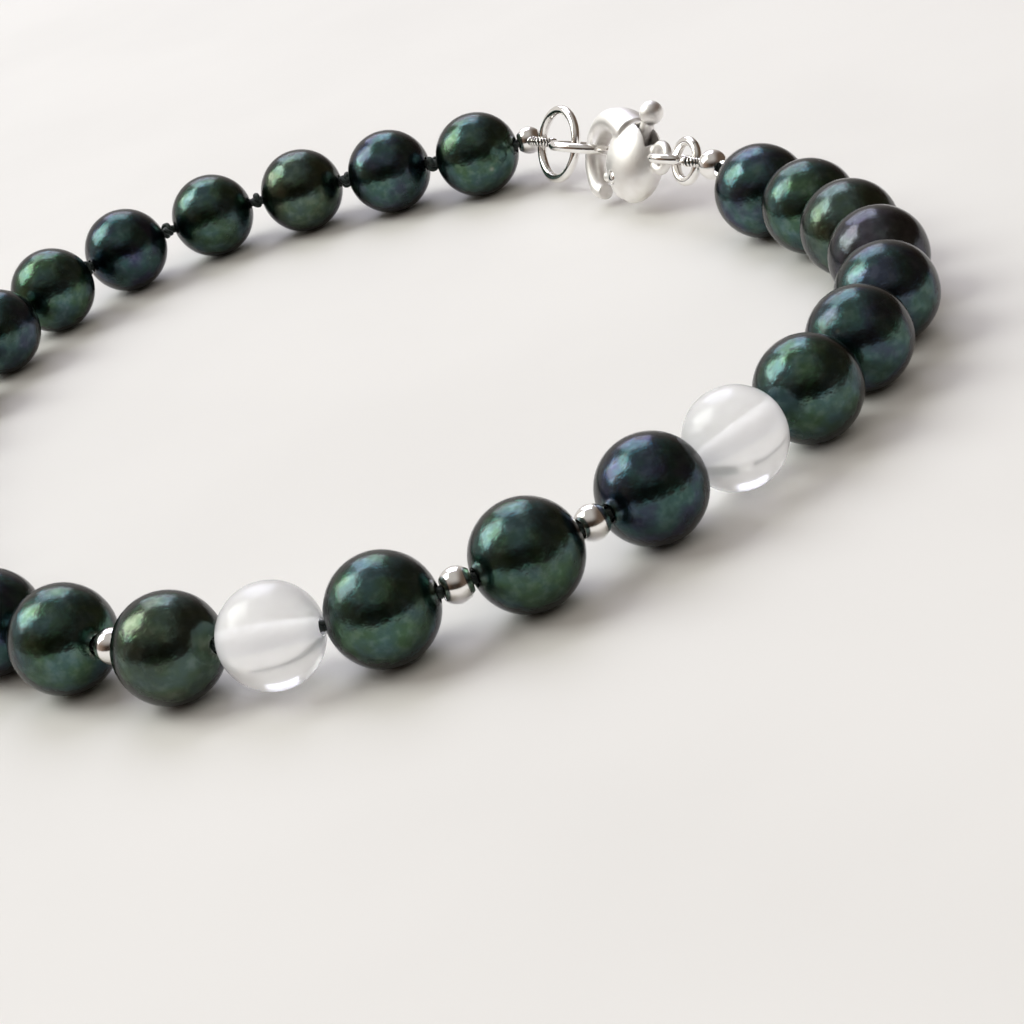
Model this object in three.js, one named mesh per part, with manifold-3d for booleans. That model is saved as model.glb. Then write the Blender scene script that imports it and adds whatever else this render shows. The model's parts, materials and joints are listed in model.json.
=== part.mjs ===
// A pearl bracelet lying flat and fastened: dark pearls, two clear milky stones and small silver balls
// on knotted silk, closed by a lobster clasp. Millimetres, +Z up, resting on Z = 0.
import * as THREE from "three";
import { mergeVertices } from "three/addons/utils/BufferGeometryUtils.js";
import Module from "manifold-3d";

const wasm = await Module();
wasm.setup();

// Beads
const PEARL_DIAMETER = 5.5;
const STONE_DIAMETER = 5.2;
const BALL_DIAMETER = 1.8;
const DRILL_DIAMETER = 0.84;
const BALL_DRILL_DIAMETER = 1;
const BEAD_SIDES = 14;
const BEAD_BANDS = 8;
const BALL_SIDES = 10;
const BALL_BANDS = 6;

// Silk: a knot fills the wider gaps, and beads without a knot between them nearly touch
const SILK_DIAMETER = 0.6;
const SILK_SIDES = 6;
const KNOT_DIAMETER = 1.15;
const KNOT_GAP = 0.9;
const TOUCH_GAP = 0.12;

// Findings between the silk and the clasp: two wide rings at its hook and two narrow ones at its tail
const HOOK_RING_DIAMETER = 5;
const TAIL_RING_DIAMETER = 3;
const RING_WIRE = 0.6;
const GUARD_WIRE = 0.6;
const GUARD_LENGTH = 1.2;
const GUARD_BEND_RADIUS = 0.75;
const GUARD_GAP = 0.1;
const LINK_PLAY = 0.12;
const LINK_STEPS = 14;
const WIRE_SIDES = 6;

// Lobster clasp, measured from the middle of its hook's wire to the middle of its tail eye
const CLASP_REACH = 7.8;
const CLASP_HEIGHT = 5.6;
const CLASP_THICKNESS = 3;
const HOOK_WIRE = 1.24;
const TAIL_WIRE = 0.6;
const TAIL_EYE_DIAMETER = 0.96;
const CLASP_LEAN_DEGREES = 25;
const LEVER_THICKNESS = 0.84;
const LEVER_DEPTH = 0.8;
const LEVER_SWING_DEGREES = 14;
const KNOB_DIAMETER = 1.5;
const HUB_DIAMETER = 1.5;
const RIVET_DIAMETER = 0.7;
const RIVET_LENGTH = 2.7;

// Room left on each side of a moving piece
const LEVER_PLAY = 0.13;
const SLOT_PLAY = 0.18;
const HUB_PLAY = 0.26;
const RIVET_PLAY = 0.06;

// The far end of the fastened clasp is carried this much higher than the silk, because it stands on its edge
const CLASP_RISE = 1.2;

// The line on which the beads lie, counter-clockwise from above from the clasp's hook end: a short list
// chosen by hand, which is scaled as a whole until the strung pieces close it exactly.
const ROUTE = [
  [7.8, 62.8],
  [4.0, 63.5],
  [-1.6, 65.9],
  [-7.5, 67.9],
  [-13.5, 68.7],
  [-19.3, 67.3],
  [-24.6, 63.5],
  [-28.5, 57.8],
  [-34.4, 45.2],
  [-35.0, 26.5],
  [-26.2, 10.7],
  [-17.0, 1.4],
  [-6.8, -1.3],
  [0.0, -0.1],
  [6.4, 2.9],
  [15.4, 9.1],
  [21.0, 17.9],
  [21.3, 29.0],
  [18.3, 39.5],
  [16.4, 43.0],
];
const ROUTE_SAMPLES = 1600;
const SCALE_MARGIN_SHARE = 0.1;
const HALVINGS = 40;

// What is strung on the silk: the kind of bead, how many in a row, and the gap after each one
const STRING = [
  { kind: "silver_ball", count: 1, gap: TOUCH_GAP },
  { kind: "pearl", count: 15, gap: KNOT_GAP },
  { kind: "pearl", count: 1, gap: TOUCH_GAP },
  { kind: "silver_ball", count: 1, gap: TOUCH_GAP },
  { kind: "pearl", count: 1, gap: TOUCH_GAP },
  { kind: "moonstone", count: 1, gap: TOUCH_GAP },
  { kind: "pearl", count: 1, gap: TOUCH_GAP },
  { kind: "silver_ball", count: 1, gap: TOUCH_GAP },
  { kind: "pearl", count: 1, gap: TOUCH_GAP },
  { kind: "silver_ball", count: 1, gap: TOUCH_GAP },
  { kind: "pearl", count: 1, gap: TOUCH_GAP },
  { kind: "moonstone", count: 1, gap: TOUCH_GAP },
  { kind: "pearl", count: 6, gap: TOUCH_GAP },
  { kind: "pearl", count: 1, gap: KNOT_GAP },
  { kind: "silver_ball", count: 1, gap: TOUCH_GAP },
];

// A knot's outline: along is a share of its gap, swell runs from the bare silk (0) to the full knot (1)
const KNOT = [
  { along: 0.14, swell: 0 },
  { along: 0.27, swell: 0.6 },
  { along: 0.5, swell: 1 },
  { along: 0.73, swell: 0.6 },
  { along: 0.86, swell: 0 },
];

// Half of a wire guard's drop-shaped loop after its start: along is a share of the way to the bend,
// round a share of the bend's radius past it, out a share of that radius sideways
const DROP = [
  { along: 0.5, round: 0, out: 0.8 },
  { along: 1, round: 0, out: 1 },
  { along: 1, round: 0.75, out: 0.68 },
];

// The claw's centre line, from the hook's tip round to its root in the body. along is a share of the
// clasp's reach, up a share of its height, wide a share of the hook's wire, thick a share of the thickness.
const CLAW = [
  { along: 0.25, up: -0.47, wide: 0.72, thick: 0.32 },
  { along: 0.11, up: -0.43, wide: 0.92, thick: 0.4 },
  { along: 0.015, up: -0.23, wide: 1.0, thick: 0.45 },
  { along: 0.0, up: 0.0, wide: 1.0, thick: 0.48 },
  { along: 0.06, up: 0.2, wide: 1.08, thick: 0.56 },
  { along: 0.2, up: 0.32, wide: 1.26, thick: 0.7 },
  { along: 0.4, up: 0.33, wide: 1.5, thick: 0.85 },
  { along: 0.6, up: 0.22, wide: 1.75, thick: 0.9 },
];
const CLAW_STEPS = 16;
const CLAW_SIDES = 12;

// The clasp's body and the lever's places, in the same shares of reach and height
const BODY = { along: 0.61, up: -0.08, long: 0.61, high: 0.92 };
const BODY_SIDES = 16;
const BODY_BANDS = 12;
const PIVOT = { along: 0.54, up: -0.27 };
const PIVOT_SIDES = 12;
const GATE_END = { along: 0.212, up: -0.285 };
const KNOB = { along: 0.8, up: 0.47 };
const KNOB_SIDES = 12;
const KNOB_BANDS = 8;
const ARM_SIDES = 8;

// How far the slot runs out past the knob and past the gate's end, as shares of the lever's two arms
const SLOT_PAST_KNOB_SHARE = 1.6;
const SLOT_PAST_GATE_SHARE = 1.1;

// Both arms narrow at their ends: the narrowing's length and the tip's size as shares of the arm's half depth
const ARM_TAPER_SHARE = 0.3;
const ARM_TIP_SHARE = 0.7;

const MATERIALS = {
  pearl: new THREE.MeshStandardMaterial({ color: 0x14302b, roughness: 0.22, metalness: 0.35 }),
  moonstone: new THREE.MeshStandardMaterial({ color: 0xdcdce0, roughness: 0.08, metalness: 0 }),
  silver_ball: new THREE.MeshStandardMaterial({ color: 0xe6e2dc, roughness: 0.08, metalness: 1 }),
  silver: new THREE.MeshStandardMaterial({ color: 0xd9d6d0, roughness: 0.18, metalness: 1 }),
  silk: new THREE.MeshStandardMaterial({ color: 0x0e1a17, roughness: 0.8, metalness: 0 }),
};

const BEADS = {
  pearl: { diameter: PEARL_DIAMETER, drill: DRILL_DIAMETER, sides: BEAD_SIDES, bands: BEAD_BANDS },
  moonstone: { diameter: STONE_DIAMETER, drill: DRILL_DIAMETER, sides: BEAD_SIDES, bands: BEAD_BANDS },
  silver_ball: { diameter: BALL_DIAMETER, drill: BALL_DRILL_DIAMETER, sides: BALL_SIDES, bands: BALL_BANDS },
};
const STRING_HEIGHT = Math.max(PEARL_DIAMETER, STONE_DIAMETER) / 2;
const HOOK_RING_RADIUS = (HOOK_RING_DIAMETER - RING_WIRE) / 2;
const TAIL_RING_RADIUS = (TAIL_RING_DIAMETER - RING_WIRE) / 2;
const TAIL_RADIUS = (TAIL_EYE_DIAMETER + TAIL_WIRE) / 2;
const UP = new THREE.Vector3(0, 0, 1);

// Solids

function solidFrom(geometry) {
  const bare = geometry.index ? geometry.toNonIndexed() : geometry.clone();
  bare.deleteAttribute("normal");
  bare.deleteAttribute("uv");
  const merged = mergeVertices(bare, 1e-4);
  return new wasm.Manifold(
    new wasm.Mesh({
      numProp: 3,
      vertProperties: merged.attributes.position.array,
      triVerts: new Uint32Array(merged.index.array),
    }),
  );
}

function geometryFrom(solid) {
  const mesh = solid.getMesh();
  const geometry = new THREE.BufferGeometry();
  geometry.setAttribute("position", new THREE.BufferAttribute(mesh.vertProperties, 3));
  geometry.setIndex(new THREE.BufferAttribute(mesh.triVerts, 1));
  geometry.computeVertexNormals();
  return geometry;
}

// A closed body through oval sections. Each has a centre, a direction along, a unit vector across it,
// and half its size across and at right angles to that.
function loft(sections, sides) {
  const points = [];
  const faces = [];
  for (const { centre, along, across, halfAcross, halfHigh } of sections) {
    const high = new THREE.Vector3().crossVectors(along, across);
    for (let j = 0; j < sides; j++) {
      const angle = (2 * Math.PI * j) / sides;
      const point = centre.clone();
      point.addScaledVector(across, halfAcross * Math.cos(angle));
      point.addScaledVector(high, halfHigh * Math.sin(angle));
      points.push(point);
    }
  }
  for (let i = 0; i + 1 < sections.length; i++)
    for (let j = 0; j < sides; j++) {
      const next = (j + 1) % sides;
      const [a, b] = [i * sides + j, i * sides + next];
      faces.push(a, b, b + sides, a, b + sides, a + sides);
    }
  const last = (sections.length - 1) * sides;
  const firstCentre = points.push(sections[0].centre) - 1;
  const lastCentre = points.push(sections[sections.length - 1].centre) - 1;
  for (let j = 0; j < sides; j++) {
    const next = (j + 1) % sides;
    faces.push(firstCentre, next, j, lastCentre, last + j, last + next);
  }
  const geometry = new THREE.BufferGeometry().setFromPoints(points);
  geometry.setIndex(faces);
  geometry.computeVertexNormals();
  return geometry;
}

// A round wire bent into a closed loop that lies in the XY plane
function wireLoop(curve, wire) {
  const section = new THREE.EllipseCurve(0, 0, wire / 2, wire / 2).getPoints(WIRE_SIDES);
  const points = [];
  const faces = [];
  for (let i = 0; i < LINK_STEPS; i++) {
    const centre = curve.getPoint(i / LINK_STEPS);
    const along = curve.getTangent(i / LINK_STEPS);
    for (const { x: out, y: high } of section.slice(0, WIRE_SIDES))
      points.push(new THREE.Vector3(centre.x + along.y * out, centre.y - along.x * out, high));
  }
  for (let i = 0; i < LINK_STEPS; i++)
    for (let j = 0; j < WIRE_SIDES; j++) {
      const [a, b] = [i * WIRE_SIDES + j, i * WIRE_SIDES + ((j + 1) % WIRE_SIDES)];
      const step = (((i + 1) % LINK_STEPS) - i) * WIRE_SIDES;
      faces.push(a, b + step, b, a, a + step, b + step);
    }
  const geometry = new THREE.BufferGeometry().setFromPoints(points);
  geometry.setIndex(faces);
  geometry.computeVertexNormals();
  return geometry;
}

function named(name, geometry, material) {
  const mesh = new THREE.Mesh(geometry, material);
  mesh.name = name;
  return mesh;
}

// Beads on their line

// How far a ball's surface lies from its middle, along its hole and at half a given width from the axis
const mouthOf = (diameter, width) => Math.sqrt(diameter ** 2 - width ** 2) / 2;

// Neighbours meet at the rim of the wider of their two holes
function pitchOf(bead, next) {
  const rim = Math.max(bead.drill, next.drill);
  return mouthOf(bead.diameter, rim) + bead.gap + mouthOf(next.diameter, rim);
}

// A ball drilled along Y
function drilledBead({ diameter, drill, sides, bands }) {
  const radius = diameter / 2;
  const mouth = Math.asin(drill / diameter);
  const profile = [];
  for (let i = 0; i <= bands; i++) {
    const angle = mouth + ((Math.PI - 2 * mouth) * i) / bands;
    profile.push(new THREE.Vector2(radius * Math.sin(angle), -radius * Math.cos(angle)));
  }
  profile.push(profile[0].clone());
  return new THREE.LatheGeometry(profile, sides);
}

function stringOrder() {
  const order = [];
  for (const { kind, count, gap } of STRING)
    for (let i = 0; i < count; i++) order.push({ kind, gap, ...BEADS[kind] });
  return order;
}

// The place on a closed track of points that lies a straight distance further on than a given place
function stepOn(track, from, distance) {
  let index = from.index;
  for (;;) {
    const end = track[(index + 1) % track.length];
    if (end.distanceTo(from.point) >= distance) {
      const start = index === from.index ? from.point : track[index % track.length];
      let [low, high] = [0, 1];
      for (let i = 0; i < HALVINGS; i++) {
        const middle = (low + high) / 2;
        if (start.clone().lerp(end, middle).distanceTo(from.point) < distance) low = middle;
        else high = middle;
      }
      return { index, point: start.clone().lerp(end, high) };
    }
    index++;
  }
}

// Bead centres at a given scale of the route, walked from the clasp's hook end to its tail end
function walk(track, order, scale) {
  const places = [{ index: 0, point: track[0] }];
  for (let i = 1; i < order.length; i++) {
    const pitch = pitchOf(order[i - 1], order[i]);
    const level = i === order.length - 1 ? Math.sqrt(pitch ** 2 - CLASP_RISE ** 2) : pitch;
    places.push(stepOn(track, places[i - 1], level / scale));
  }
  return places.map(({ point }, i) => {
    const rise = i === order.length - 1 ? CLASP_RISE : 0;
    return new THREE.Vector3(point.x * scale, point.y * scale, STRING_HEIGHT + rise);
  });
}

function beadCentres(order, claspSpan) {
  const points = ROUTE.map(([x, y]) => new THREE.Vector3(x, y, 0));
  const route = new THREE.CatmullRomCurve3(points, true);
  const track = route.getPoints(ROUTE_SAMPLES).slice(0, ROUTE_SAMPLES);
  let strung = claspSpan;
  for (const bead of order) strung += 2 * mouthOf(bead.diameter, bead.drill) + bead.gap;
  const guess = strung / route.getLength();
  let [low, high] = [guess * (1 - SCALE_MARGIN_SHARE), guess * (1 + SCALE_MARGIN_SHARE)];
  for (let i = 0; i < HALVINGS; i++) {
    const middle = (low + high) / 2;
    const centres = walk(track, order, middle);
    if (centres[0].distanceTo(centres[centres.length - 1]) < claspSpan) low = middle;
    else high = middle;
  }
  return walk(track, order, high);
}

function drillDirections(centres) {
  return centres.map((centre, i) => {
    const before = centres[Math.max(i - 1, 0)];
    const after = centres[Math.min(i + 1, centres.length - 1)];
    return after.clone().sub(before).normalize();
  });
}

function strungBeads(order, centres, directions) {
  const group = new THREE.Group();
  const counts = {};
  const geometries = {};
  order.forEach(({ kind }, i) => {
    counts[kind] = (counts[kind] ?? 0) + 1;
    geometries[kind] ??= drilledBead(BEADS[kind]);
    const number = kind === "pearl" ? String(counts[kind]).padStart(2, "0") : counts[kind];
    const bead = named(`${kind}_${number}`, geometries[kind], MATERIALS[kind]);
    const side = new THREE.Vector3().crossVectors(directions[i], UP).normalize();
    const top = new THREE.Vector3().crossVectors(side, directions[i]);
    bead.setRotationFromMatrix(new THREE.Matrix4().makeBasis(side, directions[i], top));
    bead.position.copy(centres[i]);
    group.add(bead);
  });
  return group;
}

// Silk through every hole, swollen to a knot wherever the gap leaves room for one
function silkThread(order, centres, directions) {
  const sections = [];
  const section = (centre, along, diameter) => {
    const across = new THREE.Vector3().crossVectors(UP, along).normalize();
    sections.push({ centre, along, across, halfAcross: diameter / 2, halfHigh: diameter / 2 });
  };
  const mouthAt = (i, end) => {
    const distance = end * mouthOf(order[i].diameter, order[i].drill);
    return centres[i].clone().addScaledVector(directions[i], distance);
  };
  order.forEach(({ gap }, i) => {
    section(mouthAt(i, -1), directions[i], SILK_DIAMETER);
    section(mouthAt(i, 1), directions[i], SILK_DIAMETER);
    if (i === order.length - 1 || gap < KNOT_GAP) return;
    const [start, end] = [mouthAt(i, 1), mouthAt(i + 1, -1)];
    const direction = end.clone().sub(start).normalize();
    for (const { along, swell } of KNOT)
      section(start.clone().lerp(end, along), direction, SILK_DIAMETER + swell * (KNOT_DIAMETER - SILK_DIAMETER));
  });
  return named("silk_thread", loft(sections, SILK_SIDES), MATERIALS.silk);
}

// Findings: every place is a distance along X from the first silver ball to the last one

function findingPlaces() {
  const guardStart = BALL_DIAMETER / 2 + GUARD_GAP + GUARD_WIRE / 2;
  const guardToRing = (GUARD_WIRE + RING_WIRE) / 2 + LINK_PLAY;
  const ringToRing = (radius) => 2 * radius - RING_WIRE - LINK_PLAY;
  const ring1 = guardStart + GUARD_LENGTH - guardToRing + HOOK_RING_RADIUS;
  const ring2 = ring1 + ringToRing(HOOK_RING_RADIUS);
  const hook = ring2 + HOOK_RING_RADIUS - RING_WIRE / 2 - LINK_PLAY - HOOK_WIRE / 2;
  const tail = hook + CLASP_REACH;
  const ring3 = tail + TAIL_RADIUS - (TAIL_WIRE + RING_WIRE) / 2 - LINK_PLAY + TAIL_RING_RADIUS;
  const ring4 = ring3 + ringToRing(TAIL_RING_RADIUS);
  const guardEnd = ring4 + TAIL_RING_RADIUS - guardToRing + GUARD_LENGTH;
  return { guardStart, ring1, ring2, hook, ring3, ring4, guardEnd, span: guardEnd + guardStart };
}

function jumpRing(name, place, radius, upright) {
  const circle = new THREE.EllipseCurve(0, 0, radius, radius);
  const ring = named(name, wireLoop(circle, RING_WIRE), MATERIALS.silver);
  ring.position.x = place;
  if (upright) ring.rotation.x = Math.PI / 2;
  return ring;
}

// A wire guard covers the silk's end loop: a drop-shaped loop, narrow at the ball and round at the ring
function wireGuard(name, place, turn) {
  const bend = GUARD_LENGTH - GUARD_BEND_RADIUS;
  const beside = (way) =>
    DROP.map(
      ({ along, round, out }) =>
        new THREE.Vector3(along * bend + round * GUARD_BEND_RADIUS, way * out * GUARD_BEND_RADIUS, 0),
    );
  const start = new THREE.Vector3(0, 0, 0);
  const tip = new THREE.Vector3(GUARD_LENGTH, 0, 0);
  const curve = new THREE.CatmullRomCurve3([start, ...beside(-1), tip, ...beside(1).reverse()], true);
  const guard = named(name, wireLoop(curve, GUARD_WIRE), MATERIALS.silver);
  guard.position.x = place;
  guard.rotation.z = turn;
  return guard;
}

// Lobster clasp: X runs from the hook to the tail eye, Z to the thumb knob, Y through its thickness

const inClasp = ({ along, up }) => new THREE.Vector3(along * CLASP_REACH, 0, up * CLASP_HEIGHT);

function clawSections() {
  const line = new THREE.CatmullRomCurve3(CLAW.map(inClasp));
  const width = new THREE.CatmullRomCurve3(CLAW.map(({ wide, thick }) => new THREE.Vector3(wide, thick, 0)));
  const across = new THREE.Vector3(0, 1, 0);
  const sections = [];
  for (let i = 0; i <= CLAW_STEPS; i++) {
    const t = i / CLAW_STEPS;
    const { x: wide, y: thick } = width.getPoint(t);
    sections.push({
      centre: line.getPoint(t),
      along: line.getTangent(t),
      across,
      halfAcross: (thick * CLASP_THICKNESS) / 2,
      halfHigh: (wide * HOOK_WIRE) / 2,
    });
  }
  return sections;
}

// A prism with an outline in XZ, centred on Y
function prism(outline, thickness) {
  const shape = new THREE.Shape(outline.map(([x, z]) => new THREE.Vector2(x, z)));
  const geometry = new THREE.ExtrudeGeometry(shape, { depth: thickness, bevelEnabled: false });
  return geometry.translate(0, 0, -thickness / 2).rotateX(Math.PI / 2);
}

// A short round bar through the lever's pivot, along Y
function pivotDisc(diameter, length) {
  const place = inClasp(PIVOT);
  const disc = new THREE.CylinderGeometry(diameter / 2, diameter / 2, length, PIVOT_SIDES);
  return solidFrom(disc.translate(place.x, 0, place.z));
}

// The slot in which the lever swings: from under the gate up past the knob, as wide as the arm's swing
function leverSlot() {
  const pivot = inClasp(PIVOT);
  const arm = inClasp(KNOB).sub(pivot);
  const gate = inClasp(GATE_END).sub(pivot);
  const swing = THREE.MathUtils.degToRad(LEVER_SWING_DEGREES);
  const half = LEVER_DEPTH / 2 + SLOT_PLAY;
  const reach = SLOT_PAST_KNOB_SHARE * arm.length();
  const armAngle = Math.atan2(arm.z, arm.x);
  const gateAngle = Math.atan2(gate.z, gate.x) - swing;
  const beside = (angle, distance, offset) => [
    pivot.x + distance * Math.cos(angle) - offset * Math.sin(angle),
    pivot.z + distance * Math.sin(angle) + offset * Math.cos(angle),
  ];
  const floor = pivot.z - CLASP_HEIGHT / 2;
  const gateEdge = beside(gateAngle, SLOT_PAST_GATE_SHARE * gate.length(), -half);
  const outline = [
    [gateEdge[0], floor],
    gateEdge,
    beside(gateAngle, half, -half),
    beside(armAngle, half, half),
    beside(armAngle, reach, half),
    beside(armAngle - swing, reach, -half),
    beside(armAngle - swing, 0, -half),
    [pivot.x + half, floor],
  ];
  const slotWidth = LEVER_THICKNESS + 2 * LEVER_PLAY;
  return solidFrom(prism(outline, slotWidth)).add(pivotDisc(HUB_DIAMETER + 2 * HUB_PLAY, slotWidth));
}

function claspBody() {
  const middle = inClasp(BODY);
  const body = new THREE.SphereGeometry(1 / 2, BODY_SIDES, BODY_BANDS);
  body.rotateX(Math.PI / 2).scale(BODY.long * CLASP_REACH, CLASP_THICKNESS, BODY.high * CLASP_HEIGHT);
  body.translate(middle.x, 0, middle.z);
  const tail = new THREE.TorusGeometry(TAIL_RADIUS, TAIL_WIRE / 2, WIRE_SIDES + 2, LINK_STEPS);
  tail.rotateX(Math.PI / 2).translate(CLASP_REACH, 0, 0);
  const solid = solidFrom(loft(clawSections(), CLAW_SIDES))
    .add(solidFrom(body))
    .add(solidFrom(tail))
    .subtract(leverSlot())
    .subtract(pivotDisc(RIVET_DIAMETER + 2 * RIVET_PLAY, 2 * CLASP_THICKNESS));
  return named("clasp_body", geometryFrom(solid), MATERIALS.silver);
}

function leverArm(from, to, halfDepth) {
  const along = to.clone().sub(from).normalize();
  const across = new THREE.Vector3(0, 1, 0);
  const ends = [
    [from, 1],
    [to.clone().addScaledVector(along, -ARM_TAPER_SHARE * halfDepth), 1],
    [to, ARM_TIP_SHARE],
  ];
  return loft(
    ends.map(([centre, share]) => ({
      centre,
      along,
      across,
      halfAcross: (share * LEVER_THICKNESS) / 2,
      halfHigh: share * halfDepth,
    })),
    ARM_SIDES,
  );
}

function claspLever() {
  const pivot = inClasp(PIVOT);
  const knobCentre = inClasp(KNOB);
  const knob = new THREE.SphereGeometry(KNOB_DIAMETER / 2, KNOB_SIDES, KNOB_BANDS);
  knob.translate(knobCentre.x, 0, knobCentre.z);
  const solid = pivotDisc(HUB_DIAMETER, LEVER_THICKNESS)
    .add(solidFrom(leverArm(pivot, inClasp(GATE_END), LEVER_DEPTH / 2)))
    .add(solidFrom(leverArm(pivot, knobCentre, LEVER_DEPTH / 2)))
    .add(solidFrom(knob))
    .subtract(pivotDisc(RIVET_DIAMETER + 2 * RIVET_PLAY, 2 * CLASP_THICKNESS));
  return named("clasp_lever", geometryFrom(solid), MATERIALS.silver);
}

function clasp(place) {
  const group = new THREE.Group();
  const rivet = pivotDisc(RIVET_DIAMETER, RIVET_LENGTH);
  group.add(claspBody(), claspLever(), named("clasp_rivet", geometryFrom(rivet), MATERIALS.silver));
  group.position.x = place;
  return group;
}

function findings(places, first, last) {
  const group = new THREE.Group();
  group.add(
    wireGuard("wire_guard_1", places.guardStart, 0),
    jumpRing("jump_ring_1", places.ring1, HOOK_RING_RADIUS, true),
    jumpRing("jump_ring_2", places.ring2, HOOK_RING_RADIUS, false),
    clasp(places.hook),
    jumpRing("jump_ring_3", places.ring3, TAIL_RING_RADIUS, false),
    jumpRing("jump_ring_4", places.ring4, TAIL_RING_RADIUS, true),
    wireGuard("wire_guard_2", places.guardEnd, Math.PI),
  );
  const along = last.clone().sub(first).normalize();
  const side = new THREE.Vector3().crossVectors(UP, along).normalize();
  const top = new THREE.Vector3().crossVectors(along, side);
  const lean = new THREE.Matrix4().makeRotationX(THREE.MathUtils.degToRad(-CLASP_LEAN_DEGREES));
  group.setRotationFromMatrix(new THREE.Matrix4().makeBasis(along, side, top).multiply(lean));
  group.position.copy(first);
  return group;
}

// The whole bracelet, moved so that the middle of its outline's underside is the origin
function bracelet() {
  const order = stringOrder();
  const places = findingPlaces();
  const centres = beadCentres(order, places.span);
  const directions = drillDirections(centres);
  const group = new THREE.Group();
  group.add(
    strungBeads(order, centres, directions),
    silkThread(order, centres, directions),
    findings(places, centres[0], centres[centres.length - 1]),
  );
  const box = new THREE.Box3().setFromObject(group, true);
  const middle = box.getCenter(new THREE.Vector3());
  group.position.set(-middle.x, -middle.y, -box.min.z);
  return group;
}

export default bracelet();
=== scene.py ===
# %% [markdown]
# # A pearl bracelet
#
# The bracelet lies fastened on a table: dark pearls, two clear stones and small silver balls on knotted
# silk, closed by a lobster clasp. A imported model, the frame, holds one plain node for each piece, in its
# real place. This lesson gives every piece its fine shape and its finish, and keeps each one where its
# node is.
#
# The frame is in metres. Every shape below is made in millimetres and scaled once, when it becomes an
# object.

# %% Load the frame
import json
import math
import random

import bpy
from mathutils import Matrix, Vector, noise

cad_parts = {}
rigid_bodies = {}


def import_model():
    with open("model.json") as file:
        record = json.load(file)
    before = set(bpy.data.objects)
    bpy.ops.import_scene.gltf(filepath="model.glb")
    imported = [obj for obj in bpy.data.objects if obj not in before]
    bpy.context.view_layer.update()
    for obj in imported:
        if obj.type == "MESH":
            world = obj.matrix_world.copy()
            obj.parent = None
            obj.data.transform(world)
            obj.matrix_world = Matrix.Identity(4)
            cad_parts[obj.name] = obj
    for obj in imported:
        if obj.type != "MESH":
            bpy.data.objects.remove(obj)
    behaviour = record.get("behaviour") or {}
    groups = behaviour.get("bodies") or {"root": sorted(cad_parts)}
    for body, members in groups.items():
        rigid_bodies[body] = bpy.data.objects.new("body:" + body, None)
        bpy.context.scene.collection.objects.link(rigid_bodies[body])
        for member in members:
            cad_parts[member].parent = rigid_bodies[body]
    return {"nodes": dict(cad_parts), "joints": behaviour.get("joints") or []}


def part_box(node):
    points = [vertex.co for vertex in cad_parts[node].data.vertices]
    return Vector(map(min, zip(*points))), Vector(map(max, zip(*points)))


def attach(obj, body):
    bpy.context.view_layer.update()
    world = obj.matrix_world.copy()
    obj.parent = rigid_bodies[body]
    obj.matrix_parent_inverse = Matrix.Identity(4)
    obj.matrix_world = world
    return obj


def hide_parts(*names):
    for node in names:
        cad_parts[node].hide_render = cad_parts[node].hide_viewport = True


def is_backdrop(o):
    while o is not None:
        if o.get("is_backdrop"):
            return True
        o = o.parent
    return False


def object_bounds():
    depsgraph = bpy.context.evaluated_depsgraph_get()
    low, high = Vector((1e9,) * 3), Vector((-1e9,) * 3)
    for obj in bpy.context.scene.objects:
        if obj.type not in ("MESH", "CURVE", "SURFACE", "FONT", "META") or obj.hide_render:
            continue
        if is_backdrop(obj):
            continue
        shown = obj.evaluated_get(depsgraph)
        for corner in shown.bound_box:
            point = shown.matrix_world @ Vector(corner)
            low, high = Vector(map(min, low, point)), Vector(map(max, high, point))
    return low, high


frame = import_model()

MM = 0.001
UP = Vector((0, 0, 1))
cad_low, cad_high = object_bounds()

# %% [markdown]
# ## The camera
# The picture was taken from low over the front of the bracelet with a long lens, and the camera was
# rolled to the right. The whole pearl near the middle is a good mark to measure from, because it stays
# put in the frame. Blender's camera looks down its own -Z axis, so the view is built up as roll, then
# pitch, then turn.

# %% Camera
MARK_PEARL = "pearl_19"
CAMERA_LEFT = 0.75
CAMERA_BACK = 125.8
CAMERA_ABOVE = 55.8
CAMERA_PITCH = math.radians(23.05)
CAMERA_TURN = math.radians(0.32)
CAMERA_ROLL = math.radians(17.68)
PICTURE_SIDE = 1024
FOCAL_PIXELS = 2989
SENSOR_WIDTH = 36
CLOSEST_SEEN = 10


def middle_of(node):
    low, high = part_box(node)
    return (low + high) / 2 / MM


camera_data = bpy.data.cameras.new("camera")
camera_data.sensor_width = SENSOR_WIDTH
camera_data.lens = SENSOR_WIDTH * FOCAL_PIXELS / PICTURE_SIDE
camera_data.clip_start = CLOSEST_SEEN * MM
camera = bpy.data.objects.new("camera", camera_data)
camera_place = middle_of(MARK_PEARL) + Vector((-CAMERA_LEFT, -CAMERA_BACK, CAMERA_ABOVE))
camera.matrix_world = (
    Matrix.Translation(camera_place * MM)
    @ Matrix.Rotation(-CAMERA_TURN, 4, "Z")
    @ Matrix.Rotation(math.pi / 2 - CAMERA_PITCH, 4, "X")
    @ Matrix.Rotation(-CAMERA_ROLL, 4, "Z")
)
bpy.context.scene.collection.objects.link(camera)
bpy.context.scene.camera = camera
print("lens:", round(camera_data.lens, 1), "mm")

# %% [markdown]
# ## Shapes from rings
# Nearly everything in jewellery is a ring of points carried along a line: a turned bead, a drawn wire, a
# cast claw. So one function that skins rings with quads makes most of this bracelet. Curve objects with a
# bevel would do too, but rings give control over every row, and the mesh is final at once.
#
# A form is a pair: its points, in millimetres, and its faces.

# %% Skinning rings


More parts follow.
